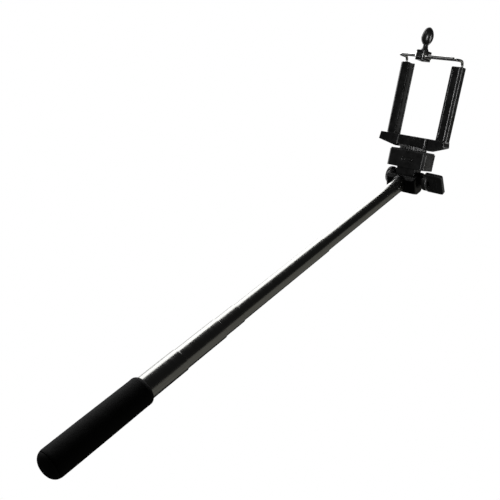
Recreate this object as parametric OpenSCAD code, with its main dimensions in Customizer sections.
// Extendable hand pole with a tilting head and a two-jaw phone clip held by a wire clamp.
// Millimetres. +Z runs up the pole from the grip to the head, +X is the tilt axis towards the wing
// knob, and -Y is the front. The origin is on the pole's axis at the middle of the foam grip.

/* [Grip] */
// Outside diameter of the foam grip
grip_d = 24.5; // [23.5:0.25:27]
// Length of the foam sleeve
grip_len = 88; // [80:1:100]
// Height of the rubber end cap
cap_h = 6; // [5:0.5:8]
// Rounding at the front shoulder of the foam
shoulder_r = 2; // [1:0.25:2.1]

/* [Pole] */
// Outside diameter of the widest tube
tube_d = 20; // [19.5:0.25:20.5]
// Step in diameter from one tube to the next
tube_step = 1.25; // [1.2:0.05:1.3]
// Wall of every tube
tube_wall = 0.4; // [0.3:0.05:0.45]
// Height of the rolled lip at each tube's mouth
lip_h = 2; // [1.5:0.25:3]
// Length of each friction sleeve
sleeve_h = 14; // [10:1:14]
// Part of tube 1 that stands clear of the grip
show_1 = 38; // [34:1:44]
// Part of tube 2 that is pulled out
show_2 = 45.8; // [20:0.1:60]
// Part of tube 3 that is pulled out
show_3 = 23.6; // [12:0.1:60]
// Part of tube 4 that is pulled out
show_4 = 124; // [60:1:130]
// Part of tube 5 that is pulled out
show_5 = 140.6; // [60:0.1:146]

/* [Tilt head] */
// Lean of the head from the pole's line
tilt = 63.5; // [0:0.5:90]
// Height of the tilt axis above tube 5
hinge_rise = 16.1; // [15.6:0.1:18]
// Width of the fork across both ears
fork_w = 36; // [34:0.5:38]
// Width of the tongue between the ears
tongue_w = 22; // [18:0.5:24]
// Width of the head block
block_w = 44; // [40:0.5:44]
// Depth of the head block
block_d = 26; // [22:0.5:30]
// Height of the head block
block_h = 17.9; // [15:0.1:18]

/* [Phone clip] */
// Gap between the jaws when closed
jaw_gap = 48.4; // [46:0.1:56]
// Height of the jaws above the clip's base
jaw_h = 76.8; // [60:0.1:90]
// Thickness of a jaw across the clip
jaw_t = 11.6; // [11:0.1:12.5]
// Diameter of the steel wires
wire_d = 3; // [2.5:0.1:3.2]
// Diameter of the ball of the clamp knob
ball_d = 12.5; // [10:0.5:14]

/* [Hidden] */
$fn = 64;

tiny = 0.01;      // overlap of a cutting tool past a face
run = 0.06;       // radial clearance of a running fit
set_fit = 0.03;   // radial clearance of pieces fixed to each other
slack = 0.3;      // gap between moving faces

// Grip and pole heights
butt_z = -(grip_len + cap_h) / 2;
foam_z = butt_z + cap_h;
foam_top = foam_z + grip_len;
grip_r = grip_d / 2;
cap_edge = 5;
plug_h = 9;
top_1 = foam_top + show_1;
top_z = [top_1, top_1 + show_2, top_1 + show_2 + show_3, top_1 + show_2 + show_3 + show_4,
         top_1 + show_2 + show_3 + show_4 + show_5];
bottom_z = [foam_z, 3, 17, 129, 255];
hinge_z = top_z[4] + hinge_rise;

function tube_r(i) = (tube_d - i * tube_step) / 2;
function bore_r(i) = tube_r(i) - tube_wall;

// Fork and hinge
ear_t = (fork_w - tongue_w) / 2 - slack;
ear_in = tongue_w / 2 + slack;
ear_out = fork_w / 2;
fork_front = -8.5;
fork_back = 12;
fork_bottom = -16;
fork_floor = -9.2;
ear_r = 8.5;
bolt_r = 2.5;
bolt_head_r = 4.4;
bolt_head_t = 2.6;
cap_r = 9.3;
cap_t = 4.5;
washer_r = 5.6;
hub_x = 21.8;
hub_r = 9.3;
hub_t = 5;
wing_x = 43;
wing_t = 4.6;
wing_half = 12;
wing_turn = 13;
spigot_h = 18;
insert_wall = 1.6;
pin_z = hinge_z - hinge_rise - 8;
pin_r = 1.2;
edge_cut = 2.6;   // chamfer of the block's and the jaws' upright corners

// Head, measured up from the tilt axis along the leaning head
tongue_half = 7.5;
block_z = 11;
pad_t = 1.3;
pad_top = block_z + block_h + pad_t;
screw_r = 3.175;
screw_z = block_z + 6;
ring_z = pad_top + 0.1;
ring_h = 4.2;
ring_r = 14.5;
base_z = ring_z + ring_h + 0.2;
plate_t = 1.2;
seat_z = 45;
base_screw_x = 12.5;
base_screw_r = 1.2;
base_screw_h = 3.8;
insert_r = 5.6;

// Phone clip
base_half = 17.5;
base_front = -9;
base_back = 10.5;
foot_front = -6;
foot_back = 8.5;
slide_t = 2.4;
slide_z = seat_z - 1.4 - slide_t;
slide_split = 1.15;
slide_reach = 14;
insert_h = slide_z - base_z - 0.4;
left_in = jaw_gap / 2 - 1;
right_in = jaw_gap / 2 + 1;
jaw_front = -5;
jaw_back = 8;
jaw_top = seat_z + jaw_h;
groove_d = 2.7;
pad_w = 9.6;
jaw_pad_t = 1.5;
left_tip = 41.5;
wire_r = wire_d / 2;
wire_z = jaw_top + 6;
wire_bend = 4;
wire_in = 3.6;
wire_y = 2;
wire_sink = 9;
clamp_x = -4.8;
jaw_travel = 15;
clamp_y = -12.5;
wire_pitch = 4;
plate_w = 9.5;
plate_d = 18.5;
upper_t = 2.6;
lower_t = 2.4;
saddle_low = 2.2;
saddle_top = 3;
nut_t = 1.8;
nut_r = 3.6;
stud_r = 2;
stud_in = 8;
neck_r = 3.1;
neck_h = 10.4;
egg_rise = 3.2;
egg_less = 0.55;
egg_sink = 1.6;

// Square plate outline with rounded corners
module rounded(w, d, r) {
    square([w - 2 * r, d], center = true);
    square([w, d - 2 * r], center = true);
    for (sx = [-1, 1], sy = [-1, 1])
        translate([sx * (w / 2 - r), sy * (d / 2 - r)]) circle(r);
}

// Plate outline with its corners cut at 45 degrees, the two on the -X side by left_cut
module cut_corners(w, d, cut, left_cut) {
    polygon([[-w / 2 + left_cut, -d / 2], [w / 2 - cut, -d / 2], [w / 2, -d / 2 + cut], [w / 2, d / 2 - cut],
             [w / 2 - cut, d / 2], [-w / 2 + left_cut, d / 2], [-w / 2, d / 2 - left_cut],
             [-w / 2, -d / 2 + left_cut]]);
}

// Places children in the leaning head's own axes
module in_head() {
    translate([0, 0, hinge_z]) rotate([tilt, 0, 0]) children();
}

// Cylinder along X from x0 to x1
module along_x(x0, x1, r) {
    translate([x0, 0, 0]) rotate([0, 90, 0]) cylinder(h = x1 - x0, r = r);
}

// Ring of a given height between two radii
module ring(h, r_out, r_in) {
    difference() {
        cylinder(h = h, r = r_out);
        translate([0, 0, -tiny]) cylinder(h = h + 2 * tiny, r = r_in);
    }
}

// ---- Grip ----
module end_cap() {
    color([0.03, 0.03, 0.03]) {
        translate([0, 0, butt_z]) rotate_extrude() intersection() {
            union() {
                square([grip_r - cap_edge, cap_h]);
                translate([grip_r - cap_edge, cap_edge]) circle(cap_edge);
                translate([0, cap_edge]) square([grip_r, cap_h - cap_edge]);
            }
            square([grip_r, cap_h]);
        }
        translate([0, 0, foam_z - tiny]) cylinder(h = plug_h, r = bore_r(0) - set_fit);
    }
}

module grip_sleeve() {
    color([0.04, 0.04, 0.04]) translate([0, 0, foam_z]) rotate_extrude()
        difference() {
            union() {
                square([grip_r, grip_len - shoulder_r]);
                translate([0, grip_len - shoulder_r - tiny])
                    square([grip_r - shoulder_r, shoulder_r + tiny]);
                translate([grip_r - shoulder_r, grip_len - shoulder_r]) circle(shoulder_r);
            }
            translate([0, -1]) square([tube_r(0) + set_fit, grip_len + 2]);
        }
}

// ---- Pole ----
// A thin tube with a lip rolled in at its mouth to hold the next tube's friction sleeve
module tube(i) {
    edge = 0.25;
    lip_r = i < 4 ? tube_r(i + 1) + 0.1 : bore_r(i);
    len = top_z[i] - bottom_z[i];
    color([0.12, 0.12, 0.12]) translate([0, 0, bottom_z[i]]) rotate_extrude()
        polygon([[bore_r(i), 0], [tube_r(i), 0], [tube_r(i), len - edge], [tube_r(i) - edge, len],
                 [lip_r, len], [lip_r, len - lip_h], [bore_r(i), len - lip_h]]);
}

// Split shim round the foot of an inner tube, which rubs in the tube outside it
module friction_sleeve(i) {
    slot = 1.5;
    color([0.8, 0.6, 0.3]) translate([0, 0, bottom_z[i] + 0.5]) difference() {
        ring(sleeve_h, bore_r(i - 1) - 0.05, tube_r(i));
        translate([0, -slot / 2, -1]) cube([tube_d, slot, sleeve_h + 2]);
    }
}

module tube_1() { tube(0); }
module tube_2() { tube(1); }
module tube_3() { tube(2); }
module tube_4() { tube(3); }
module tube_5() {
    difference() {
        tube(4);
        pin_hole();
    }
}
module friction_sleeve_2() { friction_sleeve(1); }
module friction_sleeve_3() { friction_sleeve(2); }
module friction_sleeve_4() { friction_sleeve(3); }
module friction_sleeve_5() { friction_sleeve(4); }

// ---- Tilt head ----
// Hole for the cross pin that holds the fork's spigot in tube 5
module pin_hole() {
    translate([0, 0, pin_z]) rotate([-90, 0, 0]) cylinder(h = tube_d, r = pin_r + run);
}

// Side outline of the fork, seen along the tilt axis: [y, z]
module fork_side() {
    circle(ear_r);
    polygon([[fork_front, 0], [fork_front, fork_bottom + 4], [fork_front + 3, fork_bottom],
             [9.2, fork_bottom], [fork_back, fork_bottom + 6], [fork_back, -2.5], [6.6, 5.35], [0, 0]]);
}

module yoke() {
    corner = 4;
    color([0.06, 0.06, 0.06]) translate([0, 0, hinge_z]) difference() {
        union() {
            intersection() {
                rotate([90, 0, 90]) linear_extrude(fork_w, center = true) fork_side();
                rotate([90, 0, 0]) linear_extrude(4 * ear_r, center = true) union() {
                    translate([0, ear_r / 2 + (fork_bottom + corner) / 2])
                        square([fork_w, ear_r - fork_bottom - corner], center = true);
                    translate([0, fork_bottom + corner / 2 + 0.5])
                        square([fork_w - 2 * corner, corner + 1], center = true);
                    for (side = [-1, 1])
                        translate([side * (ear_out - corner), fork_bottom + corner]) circle(corner);
                }
            }
            translate([0, 0, fork_bottom - 0.1]) cylinder(h = 3, r = tube_r(4) + 0.7);
            translate([0, 0, -hinge_rise - spigot_h]) cylinder(h = spigot_h + 2, r = bore_r(4) - set_fit);
        }
        translate([-ear_in, -2 * ear_r, fork_floor]) cube([2 * ear_in, 4 * ear_r, 4 * ear_r]);
        along_x(-fork_w, fork_w, bolt_r + run);
        translate([0, 0, -hinge_z]) pin_hole();
    }
}

module yoke_pin() {
    head_t = 0.5;
    color([0.5, 0.5, 0.5]) translate([0, 0, pin_z]) rotate([-90, 0, 0]) {
        translate([0, 0, 1]) cylinder(h = tube_r(4) - head_t, r = pin_r);
        translate([0, 0, tube_r(4) + 0.1]) cylinder(h = head_t, r = 1.5 * pin_r);
    }
}

module hinge_bolt() {
    color([0.55, 0.55, 0.55]) translate([0, 0, hinge_z]) {
        along_x(-ear_out - 0.5, hub_x + hub_t - 1, bolt_r);
        along_x(-ear_out - bolt_head_t, -ear_out - 0.1, bolt_head_r);
    }
}

module hinge_cap() {
    edge = 1.5;
    color([0.05, 0.05, 0.05]) translate([-ear_out, 0, hinge_z]) rotate([0, -90, 0]) difference() {
        rotate_extrude() {
            square([cap_r - edge, cap_t]);
            square([cap_r, cap_t - edge]);
            translate([cap_r - edge, cap_t - edge]) circle(edge);
        }
        translate([0, 0, -1]) cylinder(h = bolt_head_t + 1.1, r = bolt_head_r + 0.1);
    }
}

module hinge_washer() {
    color([0.6, 0.6, 0.6]) translate([ear_out + 0.05, 0, hinge_z]) rotate([0, 90, 0])
        ring(hub_x - ear_out - slack - 0.05, washer_r, bolt_r + run);
}

module wing_knob() {
    root_x = hub_x + 1;
    flare = 8;         // slope of the paddles' long edges
    bore = bolt_r + insert_wall;
    color([0.07, 0.07, 0.07]) translate([0, 0, hinge_z]) rotate([wing_turn, 0, 0]) difference() {
        union() {
            along_x(hub_x, hub_x + hub_t, hub_r);
            linear_extrude(wing_t, center = true) difference() {
                translate([(root_x + wing_x) / 2, 0]) rounded(wing_x - root_x, 2 * wing_half, 2.5);
                for (side = [-1, 1])
                    translate([wing_x, side * wing_half]) rotate(side * -flare)
                        translate([-2 * wing_x, side > 0 ? -0.5 : -hub_r + 0.5]) square([2 * wing_x, hub_r]);
            }
        }
        along_x(hub_x - 1, hub_x + hub_t, bore);
    }
}

module knob_insert() {
    color([0.75, 0.6, 0.3]) translate([hub_x, 0, hinge_z]) rotate([0, 90, 0])
        ring(hub_t - 0.1, bolt_r + insert_wall - set_fit, bolt_r + run);
}

module tilt_block() {
    color([0.08, 0.08, 0.08]) in_head() difference() {
        union() {
            along_x(-tongue_w / 2, tongue_w / 2, tongue_half);
            translate([-tongue_w / 2, -tongue_half, 0]) cube([tongue_w, 2 * tongue_half, block_z + 1]);
            translate([0, 0, block_z]) linear_extrude(block_h)
                cut_corners(block_w, block_d, edge_cut, edge_cut);
        }
        along_x(-tongue_w, tongue_w, bolt_r + run);
        translate([0, 0, screw_z]) cylinder(h = block_h, r = screw_r + set_fit);
    }
}

module platform_pad() {
    color([0.04, 0.04, 0.04]) in_head() translate([0, 0, block_z + block_h])
        difference() {
            linear_extrude(pad_t) rounded(block_w - 2, block_d - 2, edge_cut);
            translate([0, 0, -1]) cylinder(h = pad_t + 2, r = screw_r + 0.4);
        }
}

module camera_screw() {
    color([0.6, 0.6, 0.6]) in_head() translate([0, 0, screw_z + 0.1])
        cylinder(h = slide_z - 0.7 - screw_z, r = screw_r);
}

module lock_ring() {
    ribs = 32;
    rib_r = 0.7;
    color([0.06, 0.06, 0.06]) in_head() translate([0, 0, ring_z]) difference() {
        cylinder(h = ring_h, r = ring_r);
        translate([0, 0, -1]) cylinder(h = ring_h + 2, r = screw_r + run);
        for (i = [0 : ribs - 1])
            rotate(i * 360 / ribs) translate([ring_r + rib_r / 2, 0, -1]) cylinder(h = ring_h + 2, r = rib_r);
    }
}

// ---- Clip base ----
module at_base_screws() {
    for (side = [-1, 1])
        translate([side * base_screw_x, (foot_front + foot_back) / 2, base_z]) children();
}

module clip_base() {
    color([0.07, 0.07, 0.07]) in_head() difference() {
        translate([0, (base_front + base_back) / 2, base_z + plate_t])
            linear_extrude(seat_z - base_z - plate_t) rounded(2 * base_half, base_back - base_front, 3);
        // passages of the two flat slides
        translate([-base_half - 1, foot_front - 0.1, slide_z - 0.15])
            cube([2 * base_half + 2, slide_split - foot_front, slide_t + 0.3]);
        translate([-base_half - 1, slide_split + 0.2, slide_z - 0.15])
            cube([2 * base_half + 2, foot_back - slide_split - 0.1, slide_t + 0.3]);
        // seat of the threaded insert
        translate([0, 0, base_z]) cylinder(h = insert_h + 0.1, r = insert_r + set_fit);
        at_base_screws() cylinder(h = base_screw_h + 0.2, r = base_screw_r + run);
    }
}

module base_insert() {
    color([0.75, 0.6, 0.3]) in_head() translate([0, 0, base_z + plate_t])
        ring(insert_h - plate_t, insert_r, screw_r + run);
}

module base_plate() {
    color([0.07, 0.07, 0.07]) in_head() translate([0, 0, base_z]) difference() {
        translate([0, (base_front + base_back) / 2])
            linear_extrude(plate_t) rounded(2 * base_half, base_back - base_front, 3);
        translate([0, 0, -1]) cylinder(h = plate_t + 2, r = screw_r + 0.5);
        translate([0, 0, -base_z - 1]) at_base_screws() cylinder(h = plate_t + 2, r = base_screw_r + run);
    }
}

module base_screws() {
    color([0.5, 0.5, 0.5]) in_head() at_base_screws() translate([0, 0, 0.1])
        cylinder(h = base_screw_h, r = base_screw_r);
}

// ---- Jaws, drawn for the +X side with their inner face at in_x ----
module jaw_arm(in_x) {
    mid_y = (jaw_front + jaw_back) / 2;
    translate([0, 0, seat_z - 1]) linear_extrude(jaw_h + 1) difference() {
        translate([in_x + jaw_t / 2, mid_y]) cut_corners(jaw_t, jaw_back - jaw_front, edge_cut, 0.6);
        translate([in_x - 1, mid_y - pad_w / 2]) square([groove_d + 1, pad_w]);
    }
}

// Tapered foot under an arm, seen from the front, from its tip to its root beside the clip's base
module foot(tip_x, tip_z) {
    root_x = base_half + slack;
    root_z = base_z - 2.6;
    translate([0, foot_back, 0]) rotate([90, 0, 0]) linear_extrude(foot_back - foot_front)
        polygon([[tip_x - 1, seat_z], [tip_x, tip_z], [root_x + 1.5, root_z], [root_x, root_z + 1.5],
                 [root_x, seat_z]]);
}

module slide_tongue(y0, y1) {
    translate([-slide_reach, y0, slide_z]) cube([base_half + slack + 1 + slide_reach, y1 - y0, slide_t]);
}

module jaw(in_x, tip_x, tip_z, slide_y0, slide_y1) {
    difference() {
        union() {
            jaw_arm(in_x);
            foot(tip_x, tip_z);
            slide_tongue(slide_y0, slide_y1);
        }
        translate([in_x + jaw_t - wire_in, wire_y, jaw_top - wire_sink])
            cylinder(h = wire_sink + 1, r = wire_r + set_fit);
    }
}

module left_jaw() {
    color([0.12, 0.12, 0.12]) in_head() mirror([1, 0, 0])
        jaw(left_in, left_tip, seat_z - 8.2, foot_front, slide_split - 0.2);
}

module right_jaw() {
    color([0.12, 0.12, 0.12]) in_head()
        jaw(right_in, right_in + jaw_t, seat_z - 6.4, slide_split + 0.3, foot_back);
}

module jaw_pad(in_x) {
    mid_y = (jaw_front + jaw_back) / 2;
    translate([in_x + groove_d - jaw_pad_t - set_fit, mid_y - pad_w / 2 + 0.1, seat_z + 0.1])
        cube([jaw_pad_t, pad_w - 0.2, jaw_h - 1.6]);
}

module left_pad() {
    color([0.05, 0.05, 0.05]) in_head() mirror([1, 0, 0]) jaw_pad(left_in);
}

module right_pad() {
    color([0.05, 0.05, 0.05]) in_head() jaw_pad(right_in);
}

// ---- Wires: a leg from the jaw's top, a bend forward, a bend sideways and a run across ----
// A run starts at the origin along +X; the elbow turns it from +X towards +Y
module run_x(len) {
    rotate([0, 90, 0]) cylinder(h = len, r = wire_r);
}

module elbow() {
    translate([0, wire_bend, 0]) rotate(-90) rotate_extrude(angle = 90) translate([wire_bend, 0]) circle(wire_r);
}

module wire(in_x, front_y, end_x) {
    wire_x = in_x + jaw_t - wire_in;
    leg_bottom = jaw_top - wire_sink + 0.1;
    // leg
    translate([wire_x, wire_y, leg_bottom]) cylinder(h = wire_z - wire_bend - leg_bottom, r = wire_r);
    // upper bend towards the front
    translate([wire_x, wire_y, wire_z - wire_bend]) rotate([0, -90, 0]) rotate([180, 0, 0]) elbow();
    // forward run
    translate([wire_x, wire_y - wire_bend, wire_z]) rotate([90, 0, 0])
        cylinder(h = wire_y - wire_bend - (front_y + wire_bend), r = wire_r);
    // front corner
    translate([wire_x - wire_bend, front_y, wire_z]) elbow();
    // run across, past the clamp
    translate([end_x, front_y, wire_z]) run_x(wire_x - wire_bend - end_x);
}

module left_wire() {
    // long enough to stay in the clamp with both jaws pulled fully out
    end_x = -(clamp_x + plate_w / 2 + 2 * jaw_travel + 1.6);
    color([0.8, 0.8, 0.8]) in_head() mirror([1, 0, 0]) wire(left_in, clamp_y - wire_pitch, end_x);
}

module right_wire() {
    color([0.8, 0.8, 0.8]) in_head() wire(right_in, clamp_y + wire_pitch, clamp_x - plate_w / 2 - 3);
}

// ---- Wire clamp ----
module in_clamp(z) {
    in_head() translate([clamp_x, clamp_y, wire_z + z]) children();
}

module clamp_plate_upper() {
    color([0.05, 0.05, 0.05]) in_clamp(saddle_top) difference() {
        linear_extrude(upper_t) rounded(plate_w, plate_d, 2);
        translate([0, 0, -1]) cylinder(h = upper_t + 2, r = stud_r + run);
    }
}

module clamp_saddle() {
    color([0.8, 0.8, 0.8]) in_clamp(0) difference() {
        translate([0, 0, -saddle_low]) linear_extrude(saddle_low + saddle_top)
            rounded(plate_w + 1.2, plate_d + 0.8, 2.4);
        translate([0, 0, -saddle_low - 1]) cylinder(h = saddle_low + saddle_top + 2, r = stud_r + run);
        for (side = [-1, 1])
            translate([-plate_w, side * wire_pitch, 0]) rotate([0, 90, 0])
                cylinder(h = 2 * plate_w, r = wire_r + run);
    }
}

module clamp_plate_lower() {
    color([0.05, 0.05, 0.05]) in_clamp(-saddle_low - lower_t) difference() {
        linear_extrude(lower_t) rounded(plate_w, plate_d, 2);
        translate([0, 0, -1]) cylinder(h = lower_t + 2, r = stud_r + 0.3);
        translate([0, 0, -tiny]) cylinder(h = nut_t + 0.1, r = nut_r + set_fit, $fn = 6);
    }
}

module clamp_nut() {
    color([0.7, 0.7, 0.7]) in_clamp(-saddle_low - lower_t) difference() {
        cylinder(h = nut_t, r = nut_r, $fn = 6);
        translate([0, 0, -1]) cylinder(h = nut_t + 2, r = stud_r + run);
    }
}

module clamp_stud() {
    color([0.7, 0.7, 0.7]) in_clamp(-saddle_low - lower_t - 0.4)
        cylinder(h = lower_t + saddle_low + saddle_top + upper_t + stud_in, r = stud_r);
}

module ball_knob() {
    r = ball_d / 2;
    egg_z = neck_h + r - egg_sink;
    foot_r = neck_r + 0.9;
    color([0.04, 0.04, 0.04]) in_clamp(saddle_top + upper_t + 0.15) difference() {
        rotate_extrude() intersection() {
            union() {
                polygon([[0, 0], [foot_r, 0], [foot_r, 1.2], [neck_r, 2.2],
                         [neck_r - 0.3, neck_h], [0, neck_h]]);
                translate([0, egg_z]) circle(r);
                translate([0, egg_z + egg_rise]) circle(r - egg_less);
                polygon([[0, egg_z], [r, egg_z], [r - egg_less, egg_z + egg_rise], [0, egg_z + egg_rise]]);
            }
            square([ball_d, 6 * ball_d]);
        }
        translate([0, 0, -1]) cylinder(h = stud_in + 1.3, r = stud_r + set_fit);
    }
}

end_cap();
grip_sleeve();
tube_1();
tube_2();
tube_3();
tube_4();
tube_5();
friction_sleeve_2();
friction_sleeve_3();
friction_sleeve_4();
friction_sleeve_5();
yoke();
yoke_pin();
hinge_bolt();
hinge_cap();
hinge_washer();
wing_knob();
knob_insert();
tilt_block();
platform_pad();
camera_screw();
lock_ring();
clip_base();
base_insert();
base_plate();
base_screws();
left_jaw();
right_jaw();
left_pad();
right_pad();
left_wire();
right_wire();
clamp_plate_upper();
clamp_saddle();
clamp_plate_lower();
clamp_nut();
clamp_stud();
ball_knob();
